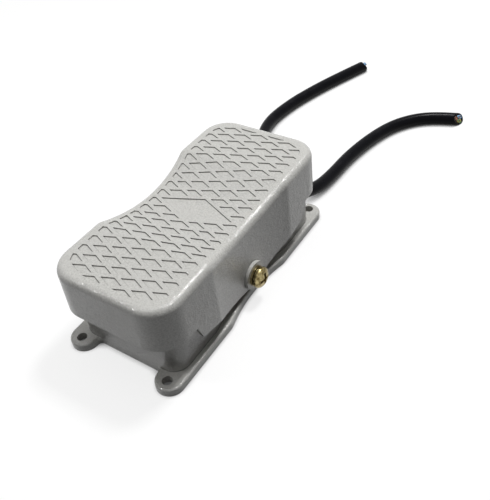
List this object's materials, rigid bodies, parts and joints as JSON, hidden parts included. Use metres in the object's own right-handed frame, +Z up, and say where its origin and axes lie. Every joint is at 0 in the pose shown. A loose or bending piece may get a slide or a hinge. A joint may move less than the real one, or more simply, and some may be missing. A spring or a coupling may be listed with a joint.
{
  "type": "foot switch",
  "caption": "Industrial foot switch with a two-way rocking cast pedal, a treaded dished top, a lugged base and two cables.",
  "frame": {"origin": "centre of the base's underside", "axes": "+X across the pedal, +Y along the pedal to the end where the cables leave, +Z up"},
  "size_m": [0.1234, 0.3238, 0.0514],
  "materials": {
    "grey_paint": "matte",
    "zinc_steel": "satin",
    "yellow_zinc": "polished",
    "bronze": "satin",
    "brass": "satin",
    "spring_steel": "satin",
    "black_rubber": "matte",
    "black_pvc": "satin",
    "brown_pvc": "satin",
    "blue_pvc": "satin",
    "green_yellow_pvc": "satin",
    "black_phenolic": "satin",
    "red_phenolic": "satin"
  },
  "bodies": {
    "base": {"base_housing": "grey_paint", "switch_bracket": "zinc_steel", "bracket_screws": "zinc_steel", "earth_screw": "brass", "pivot_screw_right": "yellow_zinc", "pivot_washer_right": "zinc_steel", "cable_grommet_right": "black_rubber", "cable_saddle_right": "zinc_steel", "saddle_screws_right": "zinc_steel", "cable_tail_right": "black_pvc", "wire_brown_right": "brown_pvc", "wire_blue_right": "blue_pvc", "wire_earth_right": "green_yellow_pvc", "cable_right": "black_pvc", "core_brown_right": "brown_pvc", "core_blue_right": "blue_pvc", "core_earth_right": "green_yellow_pvc", "pivot_screw_left": "yellow_zinc", "pivot_washer_left": "zinc_steel", "cable_grommet_left": "black_rubber", "cable_saddle_left": "zinc_steel", "saddle_screws_left": "zinc_steel", "cable_tail_left": "black_pvc", "wire_brown_left": "brown_pvc", "wire_blue_left": "blue_pvc", "wire_earth_left": "green_yellow_pvc", "cable_left": "black_pvc", "core_brown_left": "brown_pvc", "core_blue_left": "blue_pvc", "core_earth_left": "green_yellow_pvc", "switch_case_back": "black_phenolic", "switch_cover_back": "red_phenolic", "lever_pin_back": "zinc_steel", "switch_terminals_back": "brass", "switch_screws_back": "zinc_steel", "buffer_back": "black_rubber", "switch_case_front": "black_phenolic", "switch_cover_front": "red_phenolic", "lever_pin_front": "zinc_steel", "switch_terminals_front": "brass", "switch_screws_front": "zinc_steel", "buffer_front": "black_rubber", "return_spring_back_right": "spring_steel", "return_spring_back_left": "spring_steel", "return_spring_front_right": "spring_steel", "return_spring_front_left": "spring_steel"},
    "pedal": {"rocker_pedal": "grey_paint", "pivot_bush_right": "bronze", "pivot_bush_left": "bronze", "striker_screw_back": "zinc_steel", "striker_nut_back": "zinc_steel", "striker_screw_front": "zinc_steel", "striker_nut_front": "zinc_steel"},
    "lever_back": {"switch_lever_back": "spring_steel"},
    "plunger_back": {"switch_plunger_back": "black_phenolic"},
    "lever_front": {"switch_lever_front": "spring_steel"},
    "plunger_front": {"switch_plunger_front": "black_phenolic"}
  },
  "joints": [
    {"name": "pedal_rock", "type": "hinge", "parent": "base", "child": "pedal", "pos_m": [0, 0, 0.014], "axis": [1, 0, 0], "range_deg": [-6, 6], "stiffness_Nm_per_rad": 6, "deforming": ["return_spring_back_right", "return_spring_back_left", "return_spring_front_right", "return_spring_front_left"]},
    {"name": "lever_back_turn", "type": "hinge", "parent": "base", "child": "lever_back", "pos_m": [0, 0.0125, 0.0323], "axis": [1, 0, 0], "range_deg": [-9.23, 9.23]},
    {"name": "lever_front_turn", "type": "hinge", "parent": "base", "child": "lever_front", "pos_m": [0, -0.0125, 0.0323], "axis": [1, 0, 0], "range_deg": [-9.23, 9.23]},
    {"name": "plunger_back_slide", "type": "slide", "parent": "base", "child": "plunger_back", "axis": [0, 0, 1], "range_m": [-0.0011, 0.0011]},
    {"name": "plunger_front_slide", "type": "slide", "parent": "base", "child": "plunger_front", "axis": [0, 0, 1], "range_m": [-0.0011, 0.0011]}
  ],
  "couplings": [
    {"joint": "lever_back_turn", "follows": "pedal_rock", "ratio": 1.522},
    {"joint": "lever_front_turn", "follows": "pedal_rock", "ratio": 1.522},
    {"joint": "plunger_back_slide", "follows": "pedal_rock", "m_per_rad": 0.01},
    {"joint": "plunger_front_slide", "follows": "pedal_rock", "m_per_rad": -0.01}
  ]
}
